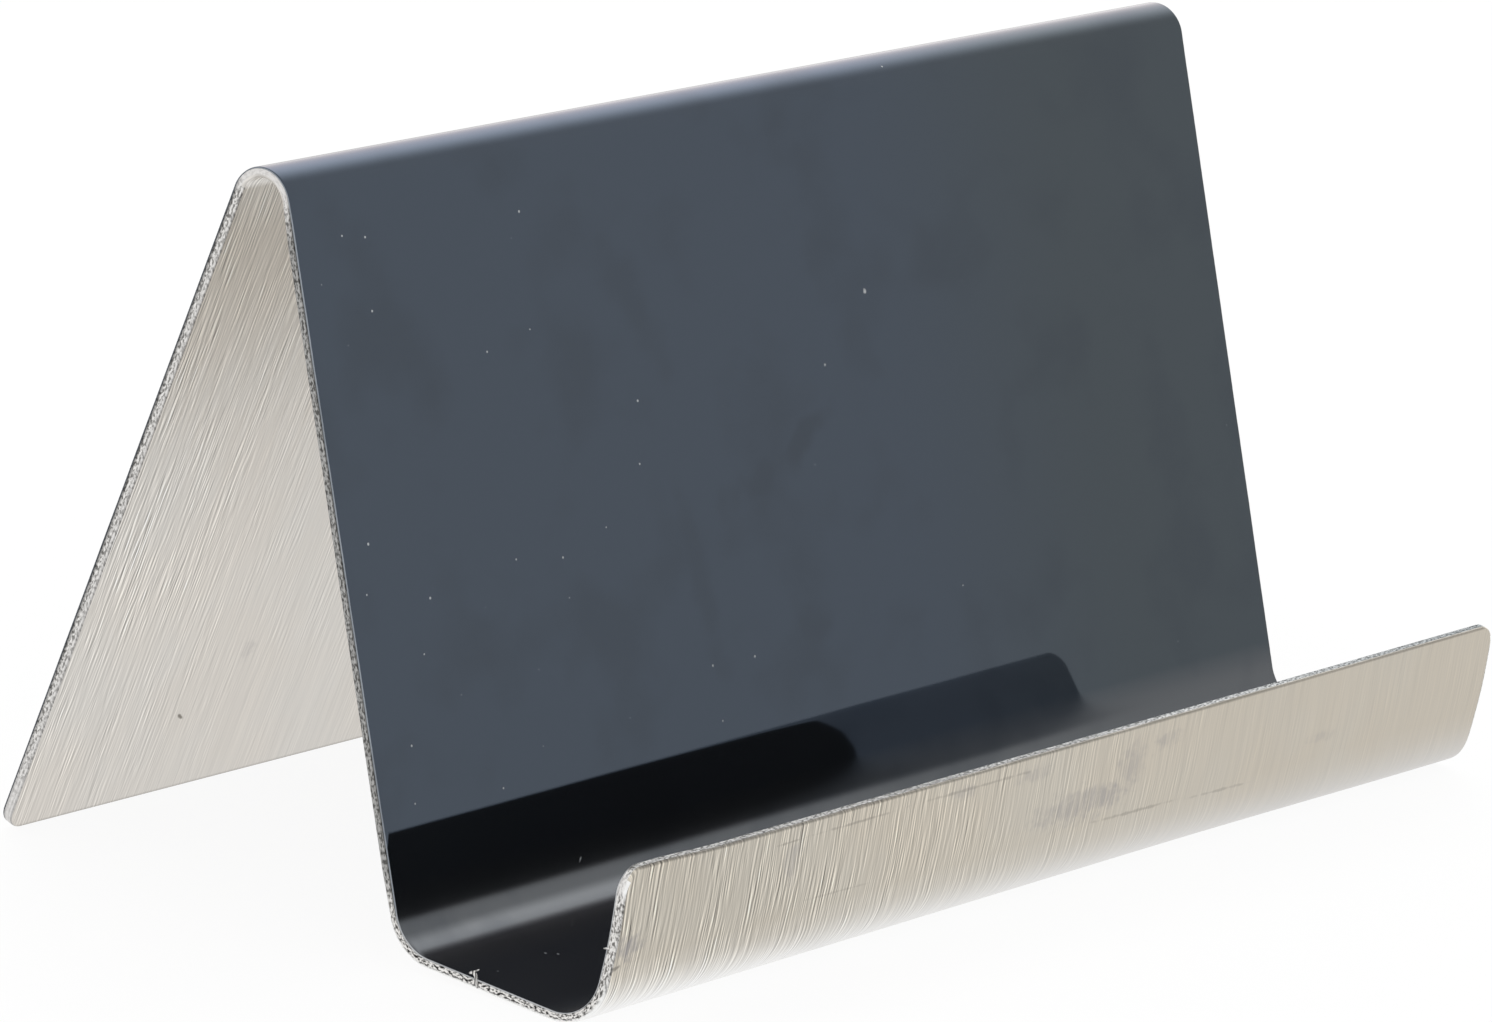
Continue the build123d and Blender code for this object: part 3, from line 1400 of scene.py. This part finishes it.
@dataclass(frozen=True)
class WindowGlow:
    """A large soft light behind the stand to its right, which fades out at its borders.

    Attributes:
        towards: Direction from the stand to its middle.
        border: Cosine of the angle from there to where it has faded out.
        falloff: How fast it fades: the power of the share of that cosine.
        radiance: How much brighter than white it is in the middle.
    """

    towards: tuple[float, float, float] = (0.763, 0.481, 0.432)
    border: float = 0.7
    falloff: float = 2.5
    radiance: float = 3.3


@dataclass(frozen=True)
class Studio:
    """A pale floor, soft light and a camera at the photograph's viewing angle.

    Attributes:
        floor_size: Side of the floor in metres.
        floor_colour: Colour of the floor.
        fibre_mm: Size of the floor's paper fibres.
        glow: Share of the floor's white that shadows don't reach.
        sky: Strength of the white surround on matt surfaces.
        window: The bright part of the surround.
        azimuth: Degrees of the camera round the stand, 0 in front of it.
        elevation: Degrees of the camera above the floor.
        roll: Degrees by which the camera's right side is tipped up.
        distance_mm: Distance from the camera to the aim.
        aim_mm: Point in the middle of the picture.
        focal_px: Focal length in pixels of the photograph.
    """

    floor_size: float = 8.0
    floor_colour: str = "#FAFAF9"
    fibre_mm: float = 2.0
    glow: float = 0.92
    sky: float = 0.9
    window: WindowGlow = WindowGlow()
    azimuth: float = -52.2274
    elevation: float = 15.2567
    roll: float = 5.0985
    distance_mm: float = 606.0
    aim_mm: tuple[float, float, float] = (2.614, 5.701, 18.676)
    focal_px: float = 8910.43

    @staticmethod
    def mirrored(new: Adder) -> Socket:
        """Finds the rays that come off metal or glass.

        Args:
            new: Adds a node to the tree that asks.

        Returns:
            Socket that is 1 for those rays.
        """
        glossy, through = (
            new("LightPath", output=output) for output in ("Is Glossy Ray", "Is Transmission Ray")
        )
        return new("Math", {0: glossy, 1: through}, operation="MAXIMUM")

    def lay_floor(self) -> bpy.types.Object:
        """Makes the floor, white to the camera and to metal, with the stand's shadow.

        Returns:
            The floor.
        """
        material, shader, new = start_finish("white_paper_sweep")
        material.node_tree.nodes.remove(shader)
        # Paper fibres give the sweep a faint, even tooth
        place = new("TexCoord", output="Object")
        fibre = new("TexNoise", {"Vector": place, "Scale": PER_MM / self.fibre_mm})
        tooth = new("Mix", {0: fibre, 6: linear(self.floor_colour), 7: linear(WHITE)}, **COLOURS)
        paper = new("BsdfDiffuse", {"Color": tooth})
        white = new("Emission", {"Strength": 1.0})
        camera = new("LightPath", output="Is Camera Ray")
        seen = new("Math", {0: camera, 1: self.glow}, operation="MULTIPLY")
        share = new("Math", {0: seen, 1: self.mirrored(new)}, operation="MAXIMUM")
        mixed = new("MixShader", {0: share, 1: paper, 2: white})
        feed(material.node_tree.nodes["Material Output"], {"Surface": mixed})
        half = self.floor_size / 2
        corners = [(-half, -half, 0.0), (half, -half, 0.0), (half, half, 0.0), (-half, half, 0.0)]
        mesh = bpy.data.meshes.new("floor")
        mesh.from_pydata(corners, [], [(0, 1, 2, 3)])
        mesh.materials.append(material)
        floor = bpy.data.objects.new("floor", mesh)
        bpy.context.scene.collection.objects.link(floor)
        return floor

    def light(self) -> None:
        """Makes the white surround, with the window's glow on all but the camera's rays."""
        world = bpy.data.worlds.new("white_surround")
        world.use_nodes = True
        new = partial(add, world.node_tree)
        camera = new("LightPath", output="Is Camera Ray")
        white = new("Math", {0: camera, 1: self.mirrored(new)}, operation="MAXIMUM")
        plain = new("MapRange", {"Value": white, "To Min": self.sky, "To Max": 1.0})
        way = new("TexCoord", output="Generated")
        middle = Vector(self.window.towards).normalized()
        facing = new("VectorMath", {0: way, 1: middle}, "Value", operation="DOT_PRODUCT")
        share = new("MapRange", {"Value": facing, "From Min": self.window.border})
        faded = new("Math", {0: share, 1: self.window.falloff}, operation="POWER")
        hidden = new("Math", {0: 1.0, 1: camera}, operation="SUBTRACT")
        glow = new("Math", {0: faded, 1: hidden}, operation="MULTIPLY")
        strength = new("Math", {0: glow, 1: self.window.radiance, 2: plain}, operation="MULTIPLY_ADD")
        feed(world.node_tree.nodes["Background"], {"Color": linear(WHITE), "Strength": strength})
        bpy.context.scene.world = world

    def aim_camera(self) -> bpy.types.Object:
        """Places the camera.

        Returns:
            The camera.
        """
        turn, rise, tip = (math.radians(angle) for angle in (self.azimuth, self.elevation, self.roll))
        away = math.cos(rise)
        back = Vector((math.sin(turn) * away, -math.cos(turn) * away, math.sin(rise)))
        level = Vector((math.cos(turn), math.sin(turn), 0.0))
        upright = back.cross(level)
        right = level * math.cos(tip) + upright * math.sin(tip)
        up = upright * math.cos(tip) - level * math.sin(tip)
        data = bpy.data.cameras.new("camera")
        data.sensor_width = 36.0
        data.lens = self.focal_px * data.sensor_width / PHOTO_WIDTH_PX
        data.clip_start, data.clip_end = 0.01, 100.0
        camera = bpy.data.objects.new("camera", data)
        place = (Vector(self.aim_mm) + back * self.distance_mm) * MM
        axes = Matrix((right, up, back)).transposed()
        camera.matrix_world = Matrix.Translation(place) @ axes.to_4x4()
        bpy.context.scene.collection.objects.link(camera)
        bpy.context.scene.camera = camera
        return camera


# A curl with two ends where the shear slipped on the shelf's edge, and a spike on the lip's
BURRS = (
    Sliver((
        (109.42, 0.6, 0.08), (109.25, 0.3, 0.11), (109.22, 0.0, 0.12), (109.12, -0.2, 0.12),
        (108.98, -0.28, 0.12), (108.8, -0.26, 0.11), (108.64, -0.17, 0.08),
    )),
    Sliver(((108.85, -0.3, 0.07), (109.1, -0.46, 0.06), (109.38, -0.64, 0.035))),
    Sliver(((122.85, 0.2, 0.08), (122.77, -0.05, 0.07), (122.69, -0.24, 0.04))),
)


def main() -> None:
    """Builds the stand and the studio."""
    logging.basicConfig(level=logging.INFO, format="%(name)s: %(message)s")
    bpy.context.scene.view_settings.view_transform = "Standard"
    strip = FoldedStrip()
    brushed = BrushedStainless(strip.length).make()
    sheared = ShearedStainless().make()
    mirror = BlackMirror().make()
    # The coating's cut edge gets a painted highlight from the shelf on, through its low colour
    rim = BlackMirror(
        name="sheared_black_coating", leg="#5A5E62", blue="#989EA5", grey="#989CA0", low="#C4C6C8",
        grazing="#808080", roughness=0.4, matt_share=0.0, low_mm=Ramp(100.8, 102.8),
        dust_mm=Ramp(-48.0, 0.0, 0.0, 0.06),
    ).make()
    steel = SheetLayer(
        "folded_steel", "folded_steel_sheet", "brushed_steel", strip,
        strip.facing_thickness, strip.thickness,
        CutEdge(
            near_width=0.03, near_depth=0.03, far_width=0.2, far_depth=0.22,
            tear=0.045, waver=0.03, wall_steps=6,
        ),
        seed=7, slivers=BURRS,
    )
    facing = SheetLayer(
        "black_facing", "gloss_black_facing", "gloss_black", strip,
        0.0, strip.facing_thickness,
        CutEdge(
            near_width=0.3, near_depth=0.08, far_width=0.005, far_depth=0.005,
            tear=0.01, waver=0.03, wall_steps=2, rolled=4,
        ),
        seed=7,
    )
    for layer, finishes in ((steel, (brushed, sheared)), (facing, (mirror, rim))):
        piece = layer.build()
        for finish in finishes:
            piece.data.materials.append(finish)
        log.info("%s: %d faces", piece.name, len(piece.data.polygons))
    studio = Studio()
    studio.lay_floor()
    studio.light()
    studio.aim_camera()


if __name__ == "__main__":
    main()
